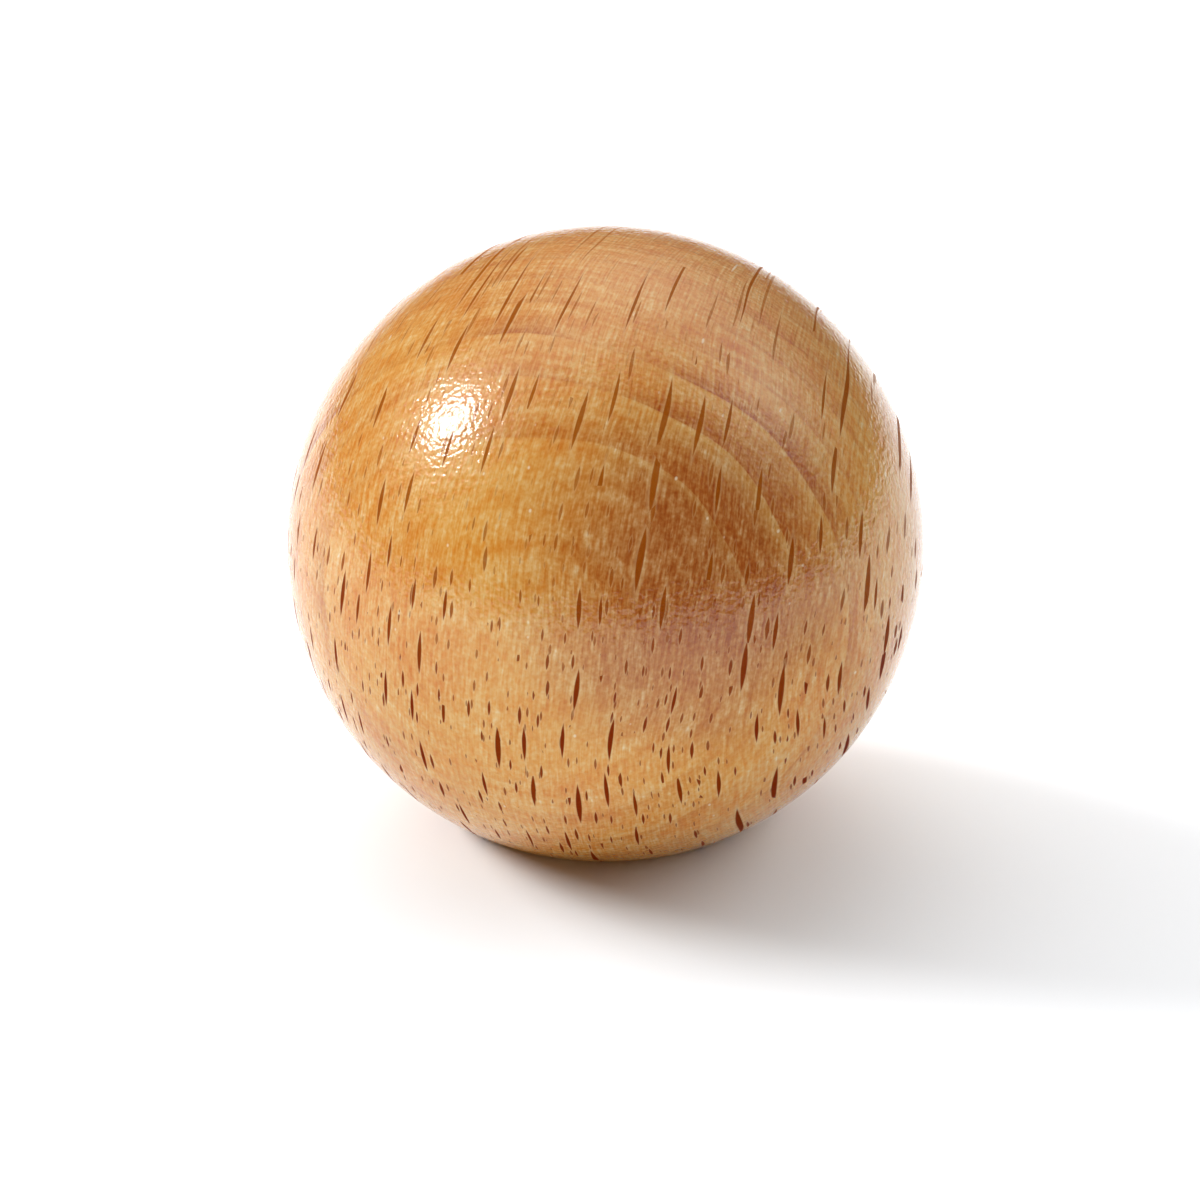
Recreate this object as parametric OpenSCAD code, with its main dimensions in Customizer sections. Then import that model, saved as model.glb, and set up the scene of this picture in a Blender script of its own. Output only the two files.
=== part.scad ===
// Ball cabinet knob: a wooden ball turned in one piece, with a flat mounting face,
// and a brass thread insert pressed into that face for a screw from behind the door.
// The origin is the centre of the mounting face, and +Z runs out through the ball.

/* [Ball] */
// Diameter of the turned ball
ball_d = 30; // [24:0.5:45]
// Diameter of the flat mounting face that bears on the door
face_d = 15; // [12:0.5:18]
// Radius that eases the edge between the ball and the mounting face
edge_r = 0.5; // [0.2:0.1:1.5]

/* [Thread insert] */
// Nominal diameter of the screw thread
thread_d = 4; // [3:0.5:4.5]
// Pitch of the screw thread
thread_pitch = 0.7; // [0.5:0.05:0.8]
// Chamfer at both ends of the threaded hole
bore_chamfer = 0.5; // [0.2:0.05:0.6]
// Length of the insert
insert_l = 9; // [8:0.5:11]
// Diameter of the insert's plain body, which is also the drill for its hole
insert_d = 5.6; // [5.4:0.1:7]
// Chamfer on the outer edge at the insert's mouth
insert_chamfer = 0.2; // [0.1:0.05:0.3]
// Length of the tapered lead at the end that enters the wood first
lead_l = 1; // [0.5:0.1:1.5]
// How much the lead tapers in, on the radius
lead_taper = 0.4; // [0.1:0.05:0.5]

/* [Barbs and knurl] */
// Height of the barbs and of the knurled band above the body
barb_h = 0.3; // [0.15:0.05:0.5]
// Number of barbs, which hold the insert against a pull
barb_count = 3; // [2:1:5]
// Plain body left between one barb and the next
barb_gap = 0.3; // [0.1:0.05:0.6]
// Length of the knurled band at the mouth, which holds against turning
knurl_l = 2.4; // [1.5:0.1:3]
// Number of grooves round the knurled band
knurl_count = 24; // [16:1:30]
// Depth of the V grooves in the knurled band
knurl_depth = 0.25; // [0.1:0.05:0.3]
// Plain neck between the knurled band and the first barb
neck_l = 0.8; // [0.4:0.1:1.2]

/* [Screw hole in the ball] */
// How far the insert's mouth sits below the mounting face
insert_sink = 0.3; // [0.1:0.05:1]
// Chamfer at the mouth of the hole in the wood
mouth_chamfer = 0.3; // [0.1:0.05:0.8]
// Depth drilled past the insert, which leaves room for the screw's end
run_out = 4.5; // [2:0.5:5]
// Angle of the drill's point
drill_angle = 118; // [90:1:140]

/* [Hidden] */
$fn = 128;

// Clear length by which a cutter runs past the surface that it cuts
past = 1;
// Straight steps that draw the edge's small arc
edge_steps = 6;

ball_r = ball_d / 2;
face_r = face_d / 2;

// The edge's arc touches the mounting face and, from inside, the ball
centre_z = edge_r + sqrt(pow(ball_r - edge_r, 2) - pow(face_r, 2));
edge_sweep = asin(face_r / (ball_r - edge_r));
edge_top_z = edge_r * (1 - cos(edge_sweep));

// A tapping drill is the thread's diameter less one pitch
tap_r = (thread_d - thread_pitch) / 2;
body_r = insert_d / 2;
crest_r = body_r + barb_h;
barb_start = knurl_l + neck_l;
barb_pitch = (insert_l - lead_l - barb_start) / barb_count;

hole_end = insert_sink + insert_l + run_out;
drill_point = body_r / tan(drill_angle / 2);

// Right half of the ball's section: the ball down to where the edge's arc begins,
// and below it the block that the arc rounds off down to the mounting face
module ball_section() {
    intersection() {
        translate([0, centre_z]) circle(r = ball_r);
        translate([0, edge_top_z]) square([ball_r, centre_z + ball_r]);
    }
    polygon([
        [0, 0],
        for (i = [0:edge_steps])
            let (a = edge_sweep * i / edge_steps) [face_r + edge_r * sin(a), edge_r * (1 - cos(a))],
        [0, edge_top_z]
    ]);
}

// A barb rises square on the side of the mouth and slopes away towards the lead
function barb_points(z) = [[body_r, z], [crest_r, z], [body_r, z + barb_pitch - barb_gap]];

// Outside of the insert in section, from its mouth at z = 0 to the end of its barbs
module insert_grip_section() {
    polygon([
        [0, 0],
        [crest_r - insert_chamfer, 0],
        [crest_r, insert_chamfer],
        [crest_r, knurl_l],
        [body_r, knurl_l],
        for (i = [0:barb_count - 1]) each barb_points(barb_start + i * barb_pitch),
        [body_r, insert_l - lead_l],
        [0, insert_l - lead_l]
    ]);
}

// Hole in the wood: the drill's path, the seat that the insert pressed for itself,
// and the chamfered mouth
module socket_section() {
    translate([0, -past]) square([body_r, past + hole_end]);
    polygon([[0, hole_end], [body_r, hole_end], [0, hole_end + drill_point]]);
    translate([0, insert_sink]) insert_grip_section();
    translate([0, -past]) square([crest_r, past + insert_sink + insert_chamfer]);
    polygon([
        [0, -past],
        [crest_r + mouth_chamfer + past, -past],
        [crest_r, mouth_chamfer],
        [0, mouth_chamfer]
    ]);
}

module ball() {
    color("peru") rotate_extrude() difference() {
        ball_section();
        socket_section();
    }
}

// Threaded hole of the insert at its tapping size, with a chamfer at each end
module tapped_bore_section() {
    translate([0, -past]) square([tap_r, insert_l + 2 * past]);
    bore_mouth();
    translate([0, insert_l]) mirror([0, 1]) bore_mouth();
}

module bore_mouth() {
    polygon([[0, -past], [tap_r + bore_chamfer + past, -past], [tap_r, bore_chamfer], [0, bore_chamfer]]);
}

// One V groove of the knurl, square in the groove and as deep as knurl_depth
module knurl_groove() {
    root_r = crest_r - knurl_depth;
    translate([0, 0, -past]) linear_extrude(past + knurl_l + neck_l / 2) polygon([
        [root_r, 0],
        [crest_r + past, knurl_depth + past],
        [crest_r + past, -knurl_depth - past]
    ]);
}

module threaded_insert() {
    color("goldenrod") translate([0, 0, insert_sink]) difference() {
        rotate_extrude() difference() {
            union() {
                insert_grip_section();
                polygon([
                    [0, insert_l - lead_l],
                    [body_r, insert_l - lead_l],
                    [body_r - lead_taper, insert_l],
                    [0, insert_l]
                ]);
            }
            tapped_bore_section();
        }
        for (i = [0:knurl_count - 1]) rotate(i * 360 / knurl_count) knurl_groove();
    }
}

ball();
threaded_insert();
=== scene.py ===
import math
import bmesh
import bpy
import numpy as np
from mathutils import Matrix, Vector


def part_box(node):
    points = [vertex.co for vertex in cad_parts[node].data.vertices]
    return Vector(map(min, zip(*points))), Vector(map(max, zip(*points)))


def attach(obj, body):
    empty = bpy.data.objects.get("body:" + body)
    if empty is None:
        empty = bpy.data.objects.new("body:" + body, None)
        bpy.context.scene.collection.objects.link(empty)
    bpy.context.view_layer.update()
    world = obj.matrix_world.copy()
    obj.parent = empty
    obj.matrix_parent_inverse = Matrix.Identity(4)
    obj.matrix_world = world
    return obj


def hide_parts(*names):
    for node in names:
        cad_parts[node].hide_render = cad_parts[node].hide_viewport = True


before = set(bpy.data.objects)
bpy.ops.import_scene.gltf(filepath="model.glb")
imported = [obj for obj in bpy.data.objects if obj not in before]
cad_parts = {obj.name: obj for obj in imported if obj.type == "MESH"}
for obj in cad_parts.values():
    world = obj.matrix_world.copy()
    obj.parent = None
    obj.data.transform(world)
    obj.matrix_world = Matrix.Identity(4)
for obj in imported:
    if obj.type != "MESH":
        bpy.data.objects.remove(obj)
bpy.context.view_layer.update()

# A lacquered beech ball knob with a brass thread insert pressed into its mounting face.
# The mounting face lies on z = 0 and the screw's axis is Z. Lengths in the dictionaries are millimetres.

mm = 0.001
ballLow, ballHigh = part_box("ball")
insertLow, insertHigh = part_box("threaded_insert")
ballRadius = (ballHigh.x - ballLow.x) / 2 / mm
ballMiddle = ballHigh.z / mm - ballRadius
crestRadius = (insertHigh.x - insertLow.x) / 2 / mm
insertMouth = insertLow.z / mm
insertEnd = insertHigh.z / mm
print("frame loaded, ball radius", round(ballRadius, 3), "mm, middle at", round(ballMiddle, 3), "mm")

cameraView = {
    "elevation": 24.0,           # degrees above the table
    "lens": 150.0,               # a long lens keeps the ball's outline nearly flat-on
    "sensor": 36.0,
    "distance": 236.0,           # from the ball's middle
    "pictureSize": 1200.0,       # pixels
    "ballPixel": (605.5, 544.0)  # where the ball's middle falls, in pixels from the top left
}


def makeCamera(v):
    data = bpy.data.cameras.new("camera")
    data.lens = v["lens"]
    data.sensor_width = v["sensor"]
    data.clip_start = 0.01
    cam = bpy.data.objects.new("camera", data)
    bpy.context.collection.objects.link(cam)
    tilt = math.radians(v["elevation"])
    right = Vector((1, 0, 0))
    up = Vector((0, math.sin(tilt), math.cos(tilt)))
    back = Vector((0, -math.cos(tilt), math.sin(tilt)))
    pixel = v["distance"] * v["sensor"] / v["lens"] / v["pictureSize"]
    half = v["pictureSize"] / 2
    across, down = v["ballPixel"]
    aim = Vector((0, 0, ballMiddle)) + right * (half - across) * pixel + up * (down - half) * pixel
    turn = Matrix((right, up, back)).transposed().to_4x4()
    cam.matrix_world = Matrix.Translation((aim + back * v["distance"]) * mm) @ turn
    bpy.context.scene.camera = cam


makeCamera(cameraView)
print("camera made")


def toLinear(hexColour):
    parts = [int(hexColour[i:i + 2], 16) / 255 for i in (1, 3, 5)]
    return tuple(c / 12.92 if c <= 0.04045 else ((c + 0.055) / 1.055) ** 2.4 for c in parts) + (1.0,)


def addNode(tree, kind, settings=None, **inputs):
    # settings are the node's own properties; an input is a value or another node's output,
    # named as the socket with _ for a space, or i0, i1 ... for the socket in that place
    node = tree.nodes.new("ShaderNode" + kind)
    for name, value in (settings or {}).items():
        setattr(node, name, value)
    for name, value in inputs.items():
        byPlace = name[0] == "i" and name[1:].isdigit()
        socket = node.inputs[int(name[1:]) if byPlace else name.replace("_", " ")]
        if isinstance(value, bpy.types.NodeSocket):
            tree.links.new(value, socket)
        else:
            socket.default_value = value
    return node


def newMaterial(name):
    mat = bpy.data.materials.new(name)
    mat.use_nodes = True
    mat.node_tree.nodes.clear()
    return mat, mat.node_tree


# settings that several nodes share
smooth = {"interpolation_type": "SMOOTHSTEP"}
colours = {"data_type": "RGBA"}

beech = {
    # ways in the ball: across the rays, and out from the pith. The fibres run at right angles to both.
    "across": (0.950, -0.304, -0.068),
    "outwards": (-0.295, -0.952, 0.085),
    "pithDistance": 43.0,       # from the ball's middle to the tree's middle
    "drift": 0.1,               # bends in the grain, a millimetre: one in 10
    "ringSpacing": 1.75,        # one year's growth
    "ringStart": 8.5,           # a year's edge, out from the ball's middle
    "ringWander": 0.35,         # how far a ring strays from a true circle
    # how dark a year is from its start, 0, to its end, 1, and at the seam between two years
    "ringShade": ((0.05, 0.0), (0.4, 0.1), (0.75, 0.45), (0.93, 0.85), (0.975, 1.0)),
    "seamShade": 0.3,
    "earlySpan": (0.03, 0.45),  # a year's palest part, from and to
    "lateShare": 0.9, "earlyShare": 0.5,    # how far a ring's dark and pale parts take the wood's colour
    "clearRings": (6.6, 8.0, 11.4, 12.8),   # rings come up over the first two, and fade over the last two
    "ringsFadeDown": (3.0, -5.0),           # and they fade towards the mounting face, along the fibres
    "faintRings": 0.3,          # how much of a ring is left there
    "patchyRings": (0.14, 0.38, 0.62, 0.2),     # bends a millimetre, noise from and to, least strength
    "honey": "#EAAB56",         # early wood under lacquer
    "orange": "#E69F4C",        # patches where the lacquer lies thick
    "patches": (0.13, 0.4, 0.62),           # bends a millimetre, and noise from and to
    "paintedShadeRusset": "#B97036",        # a darker, redder cloud on the side that faces the camera: partly the wood's redder tone, partly painted shade where the least light falls
    "paintedShadeMiddle": (4.7, -13.6, 4.6),       # from the ball's middle
    "paintedShadeReach": (10.5, 2.0),  # where the painted shade starts and where it is full
    "paintedShadeRagged": 6.0,         # how far its edge strays
    "crownWood": "#D98A38",     # wood near the crown, where the fibres end and drink more lacquer
    "crown": (9.5, 14.0, 0.55), # along the fibres: where it starts, where it is full, and how full
    "straw": "#ECBC70",         # the palest, just past a year's edge
    "amber": "#B9682A",         # late wood at a year's end
    "rayLight": "#A9590C",      # rays cut along their length
    "rayDark": "#862B00",       # rays cut across
    "rayRimSheen": "#F0CB90",       # painted sheen: a pale rim round each ray, standing in for light that the lacquer catches where it dips at the ray
    "rimSheenShare": 0.3,           # how pale the painted sheen is
    "glint": "#FFEBC8",         # painted highlights: pale specks in the colour that stand in for light caught where the lacquer stands up
    # rays: cell across, along and deep; half width and half length of a mark; share of cells with one;
    # how fully it covers the wood at the mounting face and at the crown
    "broad": {
        "cell": (1.55, 3.0, 14.0), "mark": (0.145, 1.5), "share": 0.66, "seed": 4.4,
        "cover": 1.0, "crown": 0.92
    },
    "middle": {
        "cell": (1.0, 1.4, 9.0), "mark": (0.095, 0.6), "share": 0.42, "seed": 5.3,
        "cover": 0.97, "crown": 0.65
    },
    "fine": {
        "cell": (0.55, 0.8, 7.0), "mark": (0.065, 0.32), "share": 0.36, "seed": 7.7,
        "cover": 0.8, "crown": 0.3
    },
    "rayScatter": 0.85,         # how far a ray strays from its cell's middle, where 1 is anywhere
    "raysDarken": (9.0, -4.0, 0.85),        # along the fibres: from, to, and how far towards the dark colour
    "raysDiffer": 0.3,          # and how much one ray differs from the next
    # painted glints, pale specks for highlights: start and full size in cells, share of the fine cells with
    # one, and how white
    "paintedGlints": (0.13, 0.07, 0.12, 0.7),
    # streaks, grit and lines: size across, along and outwards, and how much they deepen the colour
    "streaks": (0.11, 1.1, 2.2), "streakShade": 1.2,
    "grit": (0.17, 0.238, 0.17), "gritShade": 0.9,
    "lines": (3.0, 3.0, 0.32), "lineShade": 0.8,
    "wrinkle": 0.25,            # spacing of the wrinkles in the lacquer
    "wrinkleHeight": 0.034,
    "lacquerRoughness": 0.1,
    "rayLacquer": 0.05,         # how much of the lacquer's shine a ray keeps
    "bareRoughness": 0.55,
    "bareShine": 0.2            # of bare wood, where 0.5 is a plain solid's
}


def grainPlaces(tree, b):
    # turn and move the ball's own coordinates so that x runs across the rays, y along the fibres
    # and z out from the pith, in millimetres
    out = Vector(b["outwards"]).normalized()
    across = Vector(b["across"])
    across = (across - out * across.dot(out)).normalized()
    axes = Matrix((across, out.cross(across), out))
    shift = Vector((0, 0, b["pithDistance"])) - axes @ Vector((0, 0, ballMiddle))
    place = addNode(tree, "TexCoord").outputs["Object"]
    wood = addNode(tree, "Mapping", Vector=place, Location=shift, Rotation=axes.to_euler(),
                   Scale=(1 / mm, 1 / mm, 1 / mm)).outputs[0]

    # the grain's own coordinates: arc round the pith, height along the fibres, and radius from the pith
    # less its distance to the ball's middle. The noise's middle is a half, so what it adds on average,
    # twice ringWander, comes off the radius again.
    drift = addNode(tree, "TexNoise", Vector=wood, Scale=b["drift"], Detail=1.0, Roughness=0.5)
    bent = addNode(tree, "VectorMath", {"operation": "MULTIPLY_ADD"}, i0=drift.outputs["Color"],
                   i1=[4 * b["ringWander"]] * 3, i2=wood).outputs[0]
    flat = addNode(tree, "VectorMath", {"operation": "MULTIPLY"}, i0=bent, i1=(1, 0, 1)).outputs[0]
    radius = addNode(tree, "VectorMath", {"operation": "LENGTH"}, i0=flat).outputs["Value"]
    radius = addNode(tree, "Math", {"operation": "SUBTRACT"}, i0=radius,
                     i1=b["pithDistance"] + 2 * b["ringWander"]).outputs[0]
    x, along, z = addNode(tree, "SeparateXYZ", i0=bent).outputs
    angle = addNode(tree, "Math", {"operation": "ARCTAN2"}, i0=x, i1=z).outputs[0]
    arc = addNode(tree, "Math", {"operation": "MULTIPLY"}, i0=angle, i1=b["pithDistance"] + ballRadius / 2)
    grain = addNode(tree, "CombineXYZ", i0=arc.outputs[0], i1=along, i2=radius).outputs[0]
    return {"ball": place, "wood": wood, "grain": grain, "radius": radius, "along": along}


def yearShares(tree, at, b):
    # growth rings: each year starts pale and darkens to a thin late line
    radius = at["radius"]
    years = addNode(tree, "MapRange", {"clamp": False}, i0=radius, i1=b["ringStart"],
                    i2=b["ringStart"] + b["ringSpacing"]).outputs[0]
    season = addNode(tree, "Math", {"operation": "FRACT"}, i0=years).outputs[0]
    ringRamp = addNode(tree, "ValToRGB", i0=season)
    stops = ringRamp.color_ramp.elements
    stops[1].position = 1.0
    for spot, shade in b["ringShade"]:
        stops.new(spot).color = (shade, shade, shade, 1)
    stops[0].color = stops[len(stops) - 1].color = [b["seamShade"]] * 3 + [1]
    rise, clear, fall, gone = b["clearRings"]
    comeUp = addNode(tree, "MapRange", smooth, i0=radius, i1=rise, i2=clear, i3=b["faintRings"]).outputs[0]
    dieAway = addNode(tree, "MapRange", smooth, i0=radius, i1=fall, i2=gone, i3=1.0, i4=0.0).outputs[0]
    high, low = b["ringsFadeDown"]
    down = addNode(tree, "MapRange", smooth, i0=at["along"], i1=low, i2=high, i3=b["faintRings"]).outputs[0]
    scale, low, high, least = b["patchyRings"]
    uneven = addNode(tree, "TexNoise", Vector=at["wood"], Scale=scale, Detail=0.0).outputs[0]
    uneven = addNode(tree, "MapRange", i0=uneven, i1=low, i2=high, i3=least).outputs[0]
    strength = comeUp
    for share in (dieAway, down, uneven):
        strength = addNode(tree, "Math", {"operation": "MULTIPLY"}, i0=strength, i1=share).outputs[0]
    late = addNode(tree, "Math", {"operation": "MULTIPLY"}, i0=ringRamp.outputs[0], i1=strength).outputs[0]
    late = addNode(tree, "Math", {"operation": "MULTIPLY"}, i0=late, i1=b["lateShare"]).outputs[0]
    start, end = b["earlySpan"]
    early = addNode(tree, "MapRange", i0=season, i1=start, i2=end, i3=b["earlyShare"], i4=0.0).outputs[0]
    early = addNode(tree, "Math", {"operation": "MULTIPLY"}, i0=early, i1=strength).outputs[0]
    return early, late


def woodColour(tree, at, b):
    # honey wood with orange patches, a darker, redder cloud with an uneven edge on the side that faces the
    # camera (partly redder wood, partly painted shade), and a deeper crown
    scale, low, high = b["patches"]
    patches = addNode(tree, "TexNoise", Vector=at["wood"], Scale=scale, Detail=2.0, Roughness=0.55).outputs[0]
    patch = addNode(tree, "MapRange", smooth, i0=patches, i1=low, i2=high).outputs[0]
    # the cloud of painted shade lies where the knob faces the camera and gets the least light
    middle = (Vector(b["paintedShadeMiddle"]) + Vector((0, 0, ballMiddle))) * mm
    away = addNode(tree, "VectorMath", {"operation": "DISTANCE"}, i0=at["ball"], i1=middle).outputs["Value"]
    away = addNode(tree, "Math", {"operation": "MULTIPLY_ADD"}, i0=away, i1=1 / mm, i2=-b["paintedShadeRagged"] / 2)
    away = addNode(tree, "Math", {"operation": "MULTIPLY_ADD"}, i0=patches, i1=b["paintedShadeRagged"],
                   i2=away.outputs[0]).outputs[0]
    start, full = b["paintedShadeReach"]
    paintedShade = addNode(tree, "MapRange", smooth, i0=away, i1=start, i2=full).outputs[0]
    start, full, most = b["crown"]
    crown = addNode(tree, "MapRange", smooth, i0=at["along"], i1=start, i2=full, i3=0.0, i4=most).outputs[0]
    early, late = yearShares(tree, at, b)
    colour = toLinear(b["honey"])
    for share, shade in ((patch, "orange"), (paintedShade, "paintedShadeRusset"), (crown, "crownWood"), (early, "straw"),
                         (late, "amber")):
        colour = addNode(tree, "Mix", colours, i0=share, i6=colour, i7=toLinear(b[shade])).outputs[2]
    return colour


def addSpecks(tree, at, colour, b):
    # streaks along the fibres, grit and faint lines along the rings all deepen the colour as thicker
    # lacquer does, by raising it to a power a little over or under 1. They are drawn wider than the real
    # ones so that they show.
    power = 1.0
    for kind, shade in (("streaks", "streakShade"), ("grit", "gritShade"), ("lines", "lineShade")):
        spread = addNode(tree, "VectorMath", {"operation": "DIVIDE"}, i0=at["grain"], i1=b[kind]).outputs[0]
        speck = addNode(tree, "TexNoise", Vector=spread, Scale=1.0, Detail=1.0, Roughness=0.6).outputs[0]
        speck = addNode(tree, "Math", {"operation": "SUBTRACT"}, i0=speck, i1=0.5).outputs[0]
        power = addNode(tree, "Math", {"operation": "MULTIPLY_ADD"}, i0=speck, i1=b[shade],
                        i2=power).outputs[0]
    return addNode(tree, "Gamma", Color=colour, Gamma=power).outputs[0]


def rayMarks(tree, grain, r, scatter):
    # one lens-shaped mark in many of the cells: with across and along counted from the cell's own point
    # in half widths and half lengths, it is full where |across| + along^2 is under 0.7 and gone at 1.
    # Its pale edge, which carries painted sheen, runs from there to 2.
    # The seed moves the cells, so that each kind of ray has its own places.
    start = (r["seed"], r["seed"] * 1.7, r["seed"] * 0.6)
    cells = addNode(tree, "VectorMath", {"operation": "MULTIPLY_ADD"},
                    i0=grain, i1=[1 / c for c in r["cell"]], i2=start).outputs[0]
    found = addNode(tree, "TexVoronoi", {"feature": "F1"}, Vector=cells, Scale=1.0, Randomness=scatter)
    chance = addNode(tree, "SeparateColor", i0=found.outputs["Color"]).outputs
    offset = addNode(tree, "VectorMath", {"operation": "SUBTRACT"}, i0=cells, i1=found.outputs["Position"])
    halves = [c / m for c, m in zip(r["cell"], r["mark"])] + [0]
    inMark = addNode(tree, "VectorMath", {"operation": "MULTIPLY"}, i0=offset.outputs[0], i1=halves)
    # marks come in all sizes from a half to a little over the whole
    size = addNode(tree, "MapRange", i0=chance[0], i3=2.0, i4=0.95).outputs[0]
    inMark = addNode(tree, "VectorMath", {"operation": "SCALE"}, i0=inMark.outputs[0], Scale=size)
    across, along = addNode(tree, "SeparateXYZ", i0=inMark.outputs[0]).outputs[:2]
    across = addNode(tree, "Math", {"operation": "ABSOLUTE"}, i0=across).outputs[0]
    reach = addNode(tree, "Math", {"operation": "MULTIPLY_ADD"}, i0=along, i1=along, i2=across).outputs[0]
    there = addNode(tree, "Math", {"operation": "LESS_THAN"}, i0=chance[1], i1=r["share"]).outputs[0]
    mark = addNode(tree, "MapRange", i0=reach, i1=1.0, i2=0.7, i3=0.0, i4=there).outputs[0]
    edge = addNode(tree, "MapRange", i0=reach, i1=2.0, i2=1.0, i3=0.0, i4=there).outputs[0]
    edge = addNode(tree, "Math", {"operation": "SUBTRACT"}, i0=edge, i1=mark).outputs[0]
    return {"mark": mark, "edge": edge, "tone": chance[2], "chance": chance[1],
            "apart": found.outputs["Distance"]}


def addRays(tree, at, colour, b):
    # rays are darker, and cover more, towards the bottom along the fibres
    start, full, most = b["raysDarken"]
    low = addNode(tree, "MapRange", smooth, i0=at["along"], i1=start, i2=full, i3=0.0, i4=most).outputs[0]
    sunk = 0.0      # where a ray drinks the lacquer
    for kind in ("fine", "middle", "broad"):
        r = b[kind]
        ray = rayMarks(tree, at["grain"], r, b["rayScatter"])
        if kind == "fine":
            spare = ray
        cover = addNode(tree, "MapRange", i0=low, i1=0.0, i2=most, i3=r["crown"], i4=r["cover"]).outputs[0]
        # a pale rim of painted sheen round each ray
        edge = addNode(tree, "Math", {"operation": "MULTIPLY"}, i0=ray["edge"], i1=cover).outputs[0]
        edge = addNode(tree, "Math", {"operation": "MULTIPLY"}, i0=edge, i1=b["rimSheenShare"]).outputs[0]
        colour = addNode(tree, "Mix", colours, i0=edge, i6=colour, i7=toLinear(b["rayRimSheen"])).outputs[2]
        tone = addNode(tree, "Math", {"operation": "MULTIPLY_ADD"}, i0=ray["tone"], i1=b["raysDiffer"],
                       i2=low)
        shade = addNode(tree, "Mix", colours, i0=tone.outputs[0], i6=toLinear(b["rayLight"]),
                        i7=toLinear(b["rayDark"])).outputs[2]
        cover = addNode(tree, "Math", {"operation": "MULTIPLY"}, i0=ray["mark"], i1=cover).outputs[0]
        colour = addNode(tree, "Mix", colours, i0=cover, i6=colour, i7=shade).outputs[2]
        sunk = addNode(tree, "Math", {"operation": "MAXIMUM"}, i0=cover, i1=sunk).outputs[0]
    return colour, sunk, spare


def addPaintedGlints(tree, colour, spare, b):
    # painted glints: pale specks standing in for highlights on the lacquer, in some of the fine cells that
    # have no ray
    start, full, share, white = b["paintedGlints"]
    there = addNode(tree, "Math", {"operation": "GREATER_THAN"}, i0=spare["chance"], i1=1 - share).outputs[0]
    there = addNode(tree, "Math", {"operation": "MULTIPLY"}, i0=there, i1=white).outputs[0]
    paintedGlintMask = addNode(tree, "MapRange", i0=spare["apart"], i1=start, i2=full, i3=0.0, i4=there).outputs[0]
    return addNode(tree, "Mix", colours, i0=paintedGlintMask, i6=colour, i7=toLinear(b["glint"])).outputs[2]


def beechMaterial(name, b, lacquered):
    # turned beech: warm honey wood with faint darker year lines, crossed by the short dark ends of its rays.
    # Under brushed clear lacquer it is deeper in colour and shines through a finely wrinkled skin, apart
    # from the rays, which drink it. In the drilled hole it is bare and dull.
    mat, tree = newMaterial(name)
    at = grainPlaces(tree, b)
    colour = addSpecks(tree, at, woodColour(tree, at, b), b)
    colour, sunk, spare = addRays(tree, at, colour, b)
    colour = addPaintedGlints(tree, colour, spare, b)

    # lacquer: fine wrinkles all over, and hardly any shine over a ray
    wrinkles = addNode(tree, "TexNoise", Vector=at["wood"], Scale=1 / b["wrinkle"], Detail=1.0,
                       Roughness=0.4)
    height = addNode(tree, "Math", {"operation": "MULTIPLY"}, i0=wrinkles.outputs[0], i1=b["wrinkleHeight"])
    bump = addNode(tree, "Bump", Strength=1.0, Distance=mm, Height=height.outputs[0]).outputs[0]
    surface = addNode(tree, "BsdfPrincipled", Base_Color=colour, Roughness=b["bareRoughness"], Normal=bump)
    surface.inputs["IOR"].default_value = 1.5
    surface.inputs["Specular IOR Level"].default_value = 0.0 if lacquered else b["bareShine"]
    if lacquered:
        coat = addNode(tree, "MapRange", i0=sunk, i3=1.0, i4=b["rayLacquer"]).outputs[0]
        tree.links.new(coat, surface.inputs["Coat Weight"])
        surface.inputs["Coat Roughness"].default_value = b["lacquerRoughness"]
        surface.inputs["Coat IOR"].default_value = 1.5
        tree.links.new(bump, surface.inputs["Coat Normal"])
    addNode(tree, "OutputMaterial", Surface=surface.outputs[0])
    return mat


lacqueredBeech = beechMaterial("lacqueredTurnedBeech", beech, True)
drilledBeech = beechMaterial("bareDrilledBeech", beech, False)

brass = {
    "metal": "#D8B767",         # free-cutting brass, freshly machined
    "roughness": (0.22, 0.36),  # from the cleanest to the dullest
    "stainDepth": 0.88,         # how dark the dull places are
    "stain": 0.9,               # their size: bends a millimetre
    "toolMark": 0.09,           # spacing of the turning marks, drawn twice as wide as real ones
    "toolMarkHeight": 0.0012
}


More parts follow.
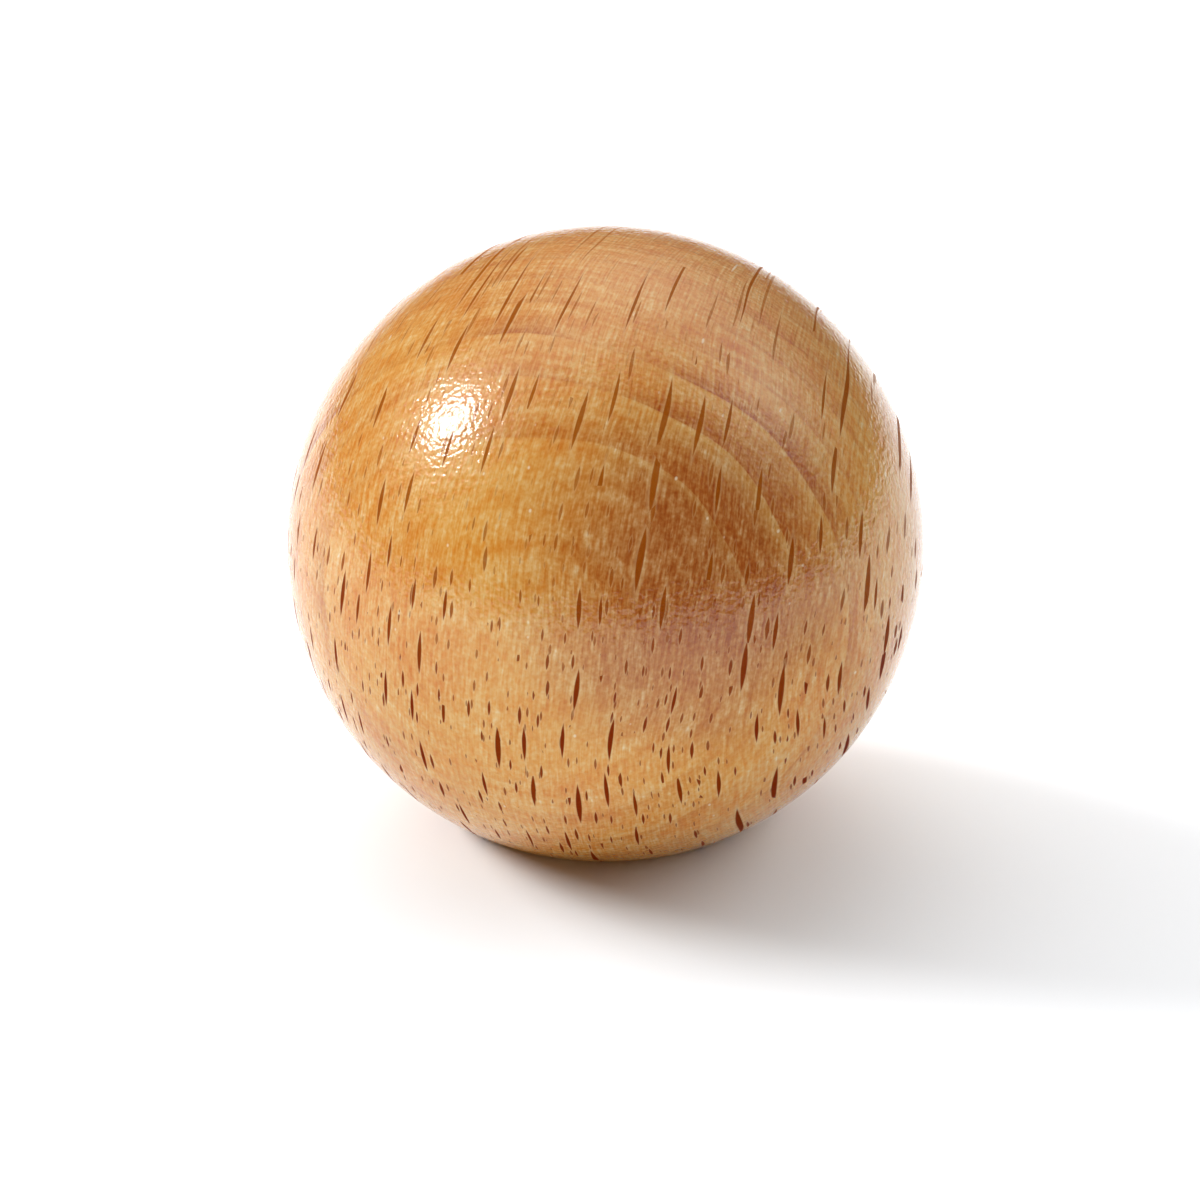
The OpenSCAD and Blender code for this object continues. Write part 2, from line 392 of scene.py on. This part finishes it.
def brassMaterial(name, b):
    # brass turned on a lathe: yellow metal with fine rings round the axis that stretch each reflection,
    # a little duller and darker in patches
    mat, tree = newMaterial(name)
    place = addNode(tree, "TexCoord").outputs["Object"]
    place = addNode(tree, "Mapping", Vector=place, Scale=(1 / mm, 1 / mm, 1 / mm)).outputs[0]
    x, y, z = addNode(tree, "SeparateXYZ", i0=place).outputs
    flat = addNode(tree, "CombineXYZ", i0=x, i1=y).outputs[0]
    radius = addNode(tree, "VectorMath", {"operation": "LENGTH"}, i0=flat).outputs["Value"]
    section = addNode(tree, "CombineXYZ", i0=radius, i1=z).outputs[0]
    marks = addNode(tree, "TexNoise", Vector=section, Scale=1 / b["toolMark"], Detail=2.0).outputs[0]
    height = addNode(tree, "Math", {"operation": "MULTIPLY"}, i0=marks, i1=b["toolMarkHeight"]).outputs[0]
    bump = addNode(tree, "Bump", Strength=1.0, Distance=mm, Height=height).outputs[0]
    stain = addNode(tree, "TexNoise", Vector=place, Scale=b["stain"], Detail=3.0, Roughness=0.6).outputs[0]
    clean, dull = b["roughness"]
    rough = addNode(tree, "MapRange", i0=stain, i1=0.3, i2=0.7, i3=clean, i4=dull).outputs[0]
    tone = addNode(tree, "MapRange", i0=stain, i1=0.3, i2=0.7, i3=b["stainDepth"]).outputs[0]
    metal = toLinear(b["metal"])[:3]
    colour = addNode(tree, "VectorMath", {"operation": "SCALE"}, i0=metal, Scale=tone).outputs[0]
    surface = addNode(tree, "BsdfPrincipled", Base_Color=colour, Metallic=1.0, Roughness=rough, Normal=bump)
    addNode(tree, "OutputMaterial", Surface=surface.outputs[0])
    return mat


machinedBrass = brassMaterial("machinedBrass", brass)
print("materials made")


def turnedPiece(name, radii, heights, steps, loop=False):
    # a profile carried once round Z: each row has one height, and a radius that may differ from step to step.
    # The piece's material lies on the left of the profile's way, so that the faces point outwards.
    turn = 2 * np.pi * np.arange(steps) / steps
    radii = np.broadcast_to(radii.reshape(len(heights), -1), (len(heights), steps))
    levels = np.broadcast_to(heights[:, None], radii.shape)
    points = np.stack((radii * np.cos(turn), radii * np.sin(turn), levels), axis=-1).reshape(-1, 3)
    row = np.arange(len(heights) if loop else len(heights) - 1)[:, None]
    nextRow = (row + 1) % len(heights)
    here = np.arange(steps)
    after = (here + 1) % steps
    corners = (row * steps + here, row * steps + after, nextRow * steps + after, nextRow * steps + here)
    mesh = bpy.data.meshes.new(name)
    mesh.from_pydata(points * mm, [], np.stack(corners, axis=-1).reshape(-1, 4))
    mesh.polygons.foreach_set("use_smooth", np.ones(len(mesh.polygons), bool))
    piece = bpy.data.objects.new(name, mesh)
    bpy.context.collection.objects.link(piece)
    return piece


def closePoles(mesh):
    # every point of a row on the axis becomes one, and the faces there become triangles
    shell = bmesh.new()
    shell.from_mesh(mesh)
    bmesh.ops.remove_doubles(shell, verts=shell.verts, dist=1e-7)
    shell.to_mesh(mesh)
    shell.free()


def profile(*stretches):
    # joins stretches of (radius, height) and drops a point that repeats the one before it
    points = np.concatenate([np.reshape(s, (-1, 2)) for s in stretches]).astype(float)
    moved = np.abs(np.diff(points, axis=0)).max(axis=1) > 1e-9
    return points[np.append(True, moved)]


threadInsert = {
    "thread": 4.0, "pitch": 0.7,          # right-handed
    "boreChamfer": 0.5,
    "bodyWidth": 5.6, "mouthChamfer": 0.2,
    "leadLength": 1.0, "leadTaper": 0.4,
    "barbs": 3, "barbGap": 0.3, "neck": 0.8,
    "knurlLength": 2.4, "grooves": 24, "grooveDepth": 0.25,
    "stepsPerGroove": 10, "rowsPerPitch": 14,
    "crease": 32.0                        # degrees, as for the ball
}


def gripPath(t):
    # the insert's outside past its knurled band: each barb stands square on the mouth's side
    # and slopes down towards the lead
    body = t["bodyWidth"] / 2
    bandEnd = insertMouth + t["knurlLength"]
    first = bandEnd + t["neck"]
    spacing = (insertEnd - t["leadLength"] - first) / t["barbs"]
    foot = first + spacing * np.arange(t["barbs"])
    radii = np.tile((body, crestRadius, body), t["barbs"])
    heights = np.stack((foot, foot, foot + spacing - t["barbGap"]), axis=-1).ravel()
    return profile((crestRadius, bandEnd), (body, bandEnd), np.stack((radii, heights), axis=-1))


turnedBall = {
    "faceWidth": 15.0,          # the flat that bears on the door
    "edgeRadius": 0.5,
    "holeDepth": 13.8, "drillPoint": 118.0, "mouthChamfer": 0.3,
    "rows": 160, "edgeRows": 8, "faceRows": 7, "steps": 256,
    "crease": 28.0              # degrees between two faces past which their edge looks sharp
}


def makeBall(b, t):
    # hole: the drill's cone and path, the insert's seat, then the chamfered mouth
    body = t["bodyWidth"] / 2
    tip = b["holeDepth"] + body / math.tan(math.radians(b["drillPoint"] / 2))
    mouth = (crestRadius + b["mouthChamfer"], 0)
    chamfer = (crestRadius, b["mouthChamfer"])
    hole = profile((0, tip), (body, b["holeDepth"]), gripPath(t)[::-1], chamfer, mouth)
    # outside: the flat face, a small arc that touches the face and the ball, then the ball's own arc.
    # The small arc turns by the angle whose sine is half the face over the ball's radius less the arc's.
    face = b["faceWidth"] / 2
    edge = b["edgeRadius"]
    flat = np.linspace(mouth, (face, 0), b["faceRows"])
    sweep = math.asin(face / (ballRadius - edge))
    a = np.linspace(0, sweep, b["edgeRows"])
    rounding = np.stack((face + edge * np.sin(a), edge * (1 - np.cos(a))), axis=-1)
    a = np.linspace(sweep, np.pi, b["rows"])
    sphere = np.stack((ballRadius * np.sin(a), ballMiddle - ballRadius * np.cos(a)), axis=-1)
    sphere[-1, 0] = 0
    path = profile(hole, flat, rounding, sphere)
    ball = turnedPiece("turnedBall", path[:, 0], path[:, 1], b["steps"])
    bare = np.arange(len(path) - 1) < len(hole) - 1
    ball.data.materials.append(lacqueredBeech)
    ball.data.materials.append(drilledBeech)
    ball.data.polygons.foreach_set("material_index", np.repeat(bare, b["steps"]).astype(np.int32))
    closePoles(ball.data)
    ball.data.set_sharp_from_angle(angle=math.radians(b["crease"]))
    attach(ball, "root")
    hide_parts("ball")
    print("ball made,", len(ball.data.polygons), "faces")


def makeInsert(t):
    # outside, from the bore's mouth outwards and up: face, knurled band, barbs, lead, and the far face
    body = t["bodyWidth"] / 2
    bore = (t["thread"] - t["pitch"]) / 2
    flare = bore + t["boreChamfer"]
    chamfer = t["mouthChamfer"]
    band = ((flare, insertMouth), (crestRadius - chamfer, insertMouth), (crestRadius, insertMouth + chamfer))
    leadStart = insertEnd - t["leadLength"]
    lead = ((body, leadStart), (body - t["leadTaper"], insertEnd), (flare, insertEnd))
    outside = profile(band, gripPath(t), lead)
    steps = t["grooves"] * t["stepsPerGroove"]
    turn = 2 * np.pi * np.arange(steps) / steps
    # a groove's wall leaves its root at 45 degrees, so its radius is root / (cos a - sin a) at an angle a
    # off its middle
    aside = np.abs((turn * t["grooves"] / (2 * np.pi) + 0.5) % 1 - 0.5) * 2 * np.pi / t["grooves"]
    wall = (crestRadius - t["grooveDepth"]) / (np.cos(aside) - np.sin(aside))
    inBand = outside[:, 1:] <= insertMouth + t["knurlLength"]
    outer = np.minimum(outside[:, :1], np.where(inBand, wall, crestRadius))
    # bore, from the far face down: a thread whose height above a row rises by one pitch a turn, with
    # flanks at 60 degrees to each other, a flat crest and a narrower flat root, and a cone at each end
    rows = int((insertEnd - insertMouth) / t["pitch"] * t["rowsPerPitch"])
    heights = np.linspace(insertEnd, insertMouth, rows)[1:-1]
    phase = (heights[:, None] / t["pitch"] - turn / (2 * np.pi)) % 1
    depth = t["thread"] / 2 - bore
    halfRoot = t["pitch"] / 16
    fromRoot = np.abs(phase - 0.5) * t["pitch"] - halfRoot
    thread = bore + depth - np.clip(fromRoot / math.tan(math.radians(30)), 0, depth)
    fromEnd = np.minimum(heights - insertMouth, insertEnd - heights)
    inner = np.maximum(thread, (flare - fromEnd)[:, None])
    insert = turnedPiece("brassThreadInsert", np.concatenate((outer, inner)),
                         np.concatenate((outside[:, 1], heights)), steps, loop=True)
    insert.data.materials.append(machinedBrass)
    insert.data.set_sharp_from_angle(angle=math.radians(t["crease"]))
    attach(insert, "root")
    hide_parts("threaded_insert")
    print("insert made,", len(insert.data.polygons), "faces")


makeBall(turnedBall, threadInsert)
makeInsert(threadInsert)


floorLook = {
    "size": 1.2,                # metres
    "fade": (0.12, 0.3),        # where the paper gives way to plain white, in metres
    "bounce": "#B1B1B1",        # what the paper gives to things near it
    # what the paper looks like: its lamps light it past white, so that only deep shade shows, and it is
    # a touch blue against the warm light that the wood throws back
    "paper": (0.65995, 0.67, 0.6834, 1),
    "gap": 0.02                 # millimetres from the paper up to the mounting face
}


def makeFloor(f):
    mesh = bpy.data.meshes.new("floor")
    s = f["size"]
    z = -f["gap"] * mm
    mesh.from_pydata([(-s, -s, z), (s, -s, z), (s, s, z), (-s, s, z)], [], [(0, 1, 2, 3)])
    floor = bpy.data.objects.new("floor", mesh)
    bpy.context.collection.objects.link(floor)
    # white paper: dull all over, and plain white where it is seen from afar
    mat, tree = newMaterial("whitePaper")
    path = addNode(tree, "LightPath").outputs
    seen = path["Is Camera Ray"]
    for way in ("Is Glossy Ray", "Is Transmission Ray"):
        seen = addNode(tree, "Math", {"operation": "MAXIMUM"}, i0=seen, i1=path[way]).outputs[0]
    colour = addNode(tree, "Mix", colours, i0=seen, i6=toLinear(f["bounce"]), i7=f["paper"])
    paper = addNode(tree, "BsdfDiffuse", Color=colour.outputs[2]).outputs[0]
    white = addNode(tree, "Emission", Color=(1, 1, 1, 1), Strength=1.0).outputs[0]
    place = addNode(tree, "TexCoord").outputs["Object"]
    away = addNode(tree, "VectorMath", {"operation": "LENGTH"}, i0=place).outputs["Value"]
    near, far = f["fade"]
    share = addNode(tree, "MapRange", smooth, i0=away, i1=near, i2=far).outputs[0]
    share = addNode(tree, "Math", {"operation": "MULTIPLY"}, i0=share, i1=seen).outputs[0]
    both = addNode(tree, "MixShader", i0=share, i1=paper, i2=white).outputs[0]
    addNode(tree, "OutputMaterial", Surface=both)
    mesh.materials.append(mat)


makeFloor(floorLook)

# lamps: azimuth counted from the right, anticlockwise seen from above, and elevation, in degrees;
# width is the lamp's spread in degrees, and level what it gives a white surface that faces it. A lamp
# shows either in gloss or on matt surfaces, and lights either the knob or the floor.
lamps = {
    "key": {
        "azimuth": 180, "elevation": 41, "width": 13, "level": 0.32, "gloss": False, "lights": "knob"
    },
    "shine": {
        "azimuth": 180, "elevation": 41, "width": 17, "level": 0.55, "gloss": True, "lights": "knob"
    },
    "behind": {
        "azimuth": 150, "elevation": 30, "width": 20, "level": 0.16, "gloss": False, "lights": "knob"
    },
    "back": {
        "azimuth": 90, "elevation": 32, "width": 50, "level": 0.22, "gloss": False, "lights": "knob"
    },
    # what the bright paper in front of the knob throws back on it
    "front": {
        "azimuth": 262, "elevation": 40, "width": 60, "level": 0.22, "gloss": False, "lights": "knob"
    },
    "paper": {
        "azimuth": 266, "elevation": -25, "width": 80, "level": 0.19, "gloss": False, "lights": "knob"
    },
    # the paper's own lamps, which shape the shadow
    "leftWindow": {
        "azimuth": 161, "elevation": 25, "width": 17, "level": 1.24, "gloss": False, "lights": "floor"
    },
    "rearWindow": {
        "azimuth": 145, "elevation": 22, "width": 15, "level": 1.1, "gloss": False, "lights": "floor"
    },
    "rear": {
        "azimuth": 99, "elevation": 33, "width": 77, "level": 1.25, "gloss": False, "lights": "floor"
    },
    "side": {
        "azimuth": 31, "elevation": 8, "width": 68, "level": 2.0, "gloss": False, "lights": "floor"
    }
}


def direction(v):
    a = math.radians(v["azimuth"])
    e = math.radians(v["elevation"])
    return Vector((math.cos(e) * math.cos(a), math.cos(e) * math.sin(a), math.sin(e)))


def makeLamps(lampList):
    groups = {}
    for group, names in (("knob", ("turnedBall", "brassThreadInsert")), ("floor", ("floor",))):
        groups[group] = bpy.data.collections.new(group)
        for name in names:
            groups[group].objects.link(bpy.data.objects[name])
    for name, v in lampList.items():
        data = bpy.data.lights.new(name, "SUN")
        data.angle = math.radians(v["width"])
        data.energy = math.pi * v["level"]
        lamp = bpy.data.objects.new(name, data)
        bpy.context.collection.objects.link(lamp)
        lamp.rotation_euler = direction(v).to_track_quat("Z", "Y").to_euler()
        lamp.visible_glossy = v["gloss"]
        lamp.visible_diffuse = not v["gloss"]
        lamp.light_linking.receiver_collection = groups[v["lights"]]
        lamp.light_linking.blocker_collection = groups["knob"]    # the paper lets it through


makeLamps(lamps)

room = {
    "ambient": 0.07,        # light from all round on matt surfaces
    "wall": 0.13,           # what gloss shows of the pale walls
    "dark": 0.03,           # and of the unlit side behind the camera
    "darkCone": (55, 90),   # degrees from the camera's side where the dark ends
    # soft boxes: spread is how far from the middle the light falls to 60 percent, in degrees; level is
    # what gloss shows, and matt the share of it that matt surfaces get
    "boxes": {
        "glow": {"azimuth": 180, "elevation": 41, "spread": 11, "level": 0.4, "matt": 0.35},
        "top": {"azimuth": 75, "elevation": 55, "spread": 19, "level": 0.36, "matt": 0.5},
        "right": {"azimuth": 12, "elevation": 42, "spread": 15, "level": 0.32, "matt": 0.2},
        "ceiling": {"azimuth": 150, "elevation": 76, "spread": 14, "level": 0.18, "matt": 0.2}
    }
}


def makeWorld(r):
    world = bpy.data.worlds.new("studio")
    bpy.context.scene.world = world
    world.use_nodes = True
    tree = world.node_tree
    tree.nodes.clear()
    way = addNode(tree, "TexCoord").outputs["Generated"]
    cameraSide = direction({"azimuth": -90, "elevation": cameraView["elevation"]})
    facing = addNode(tree, "VectorMath", {"operation": "DOT_PRODUCT"}, i0=way, i1=cameraSide)
    inner, outer = (math.cos(math.radians(a)) for a in r["darkCone"])
    gloss = addNode(tree, "MapRange", smooth, i0=facing.outputs["Value"], i1=outer, i2=inner,
                    i3=r["wall"], i4=r["dark"]).outputs[0]
    matt = r["ambient"]
    for box in r["boxes"].values():
        # a soft box shines as peak * exp((cos a - 1) / spread^2), at an angle a off its middle
        spread = math.radians(box["spread"])
        peak = box["level"] / (2 * spread ** 2)
        facing = addNode(tree, "VectorMath", {"operation": "DOT_PRODUCT"}, i0=way, i1=direction(box))
        power = addNode(tree, "Math", {"operation": "MULTIPLY_ADD"}, i0=facing.outputs["Value"],
                        i1=spread ** -2, i2=-spread ** -2).outputs[0]
        glow = addNode(tree, "Math", {"operation": "EXPONENT"}, i0=power).outputs[0]
        gloss = addNode(tree, "Math", {"operation": "MULTIPLY_ADD"}, i0=glow, i1=peak, i2=gloss).outputs[0]
        matt = addNode(tree, "Math", {"operation": "MULTIPLY_ADD"}, i0=glow, i1=peak * box["matt"],
                       i2=matt).outputs[0]
    path = addNode(tree, "LightPath").outputs
    level = addNode(tree, "Mix", {"data_type": "FLOAT"}, i0=path["Is Glossy Ray"], i2=matt,
                    i3=gloss).outputs[0]
    seen = addNode(tree, "Math", {"operation": "MAXIMUM"}, i0=path["Is Camera Ray"],
                   i1=path["Is Transmission Ray"]).outputs[0]
    strength = addNode(tree, "Mix", {"data_type": "FLOAT"}, i0=seen, i2=level, i3=1.0).outputs[0]
    background = addNode(tree, "Background", Color=(1, 1, 1, 1), Strength=strength).outputs[0]
    addNode(tree, "OutputWorld", Surface=background)


makeWorld(room)
bpy.context.scene.view_settings.view_transform = "Standard"
print("stage, lamps and room made")
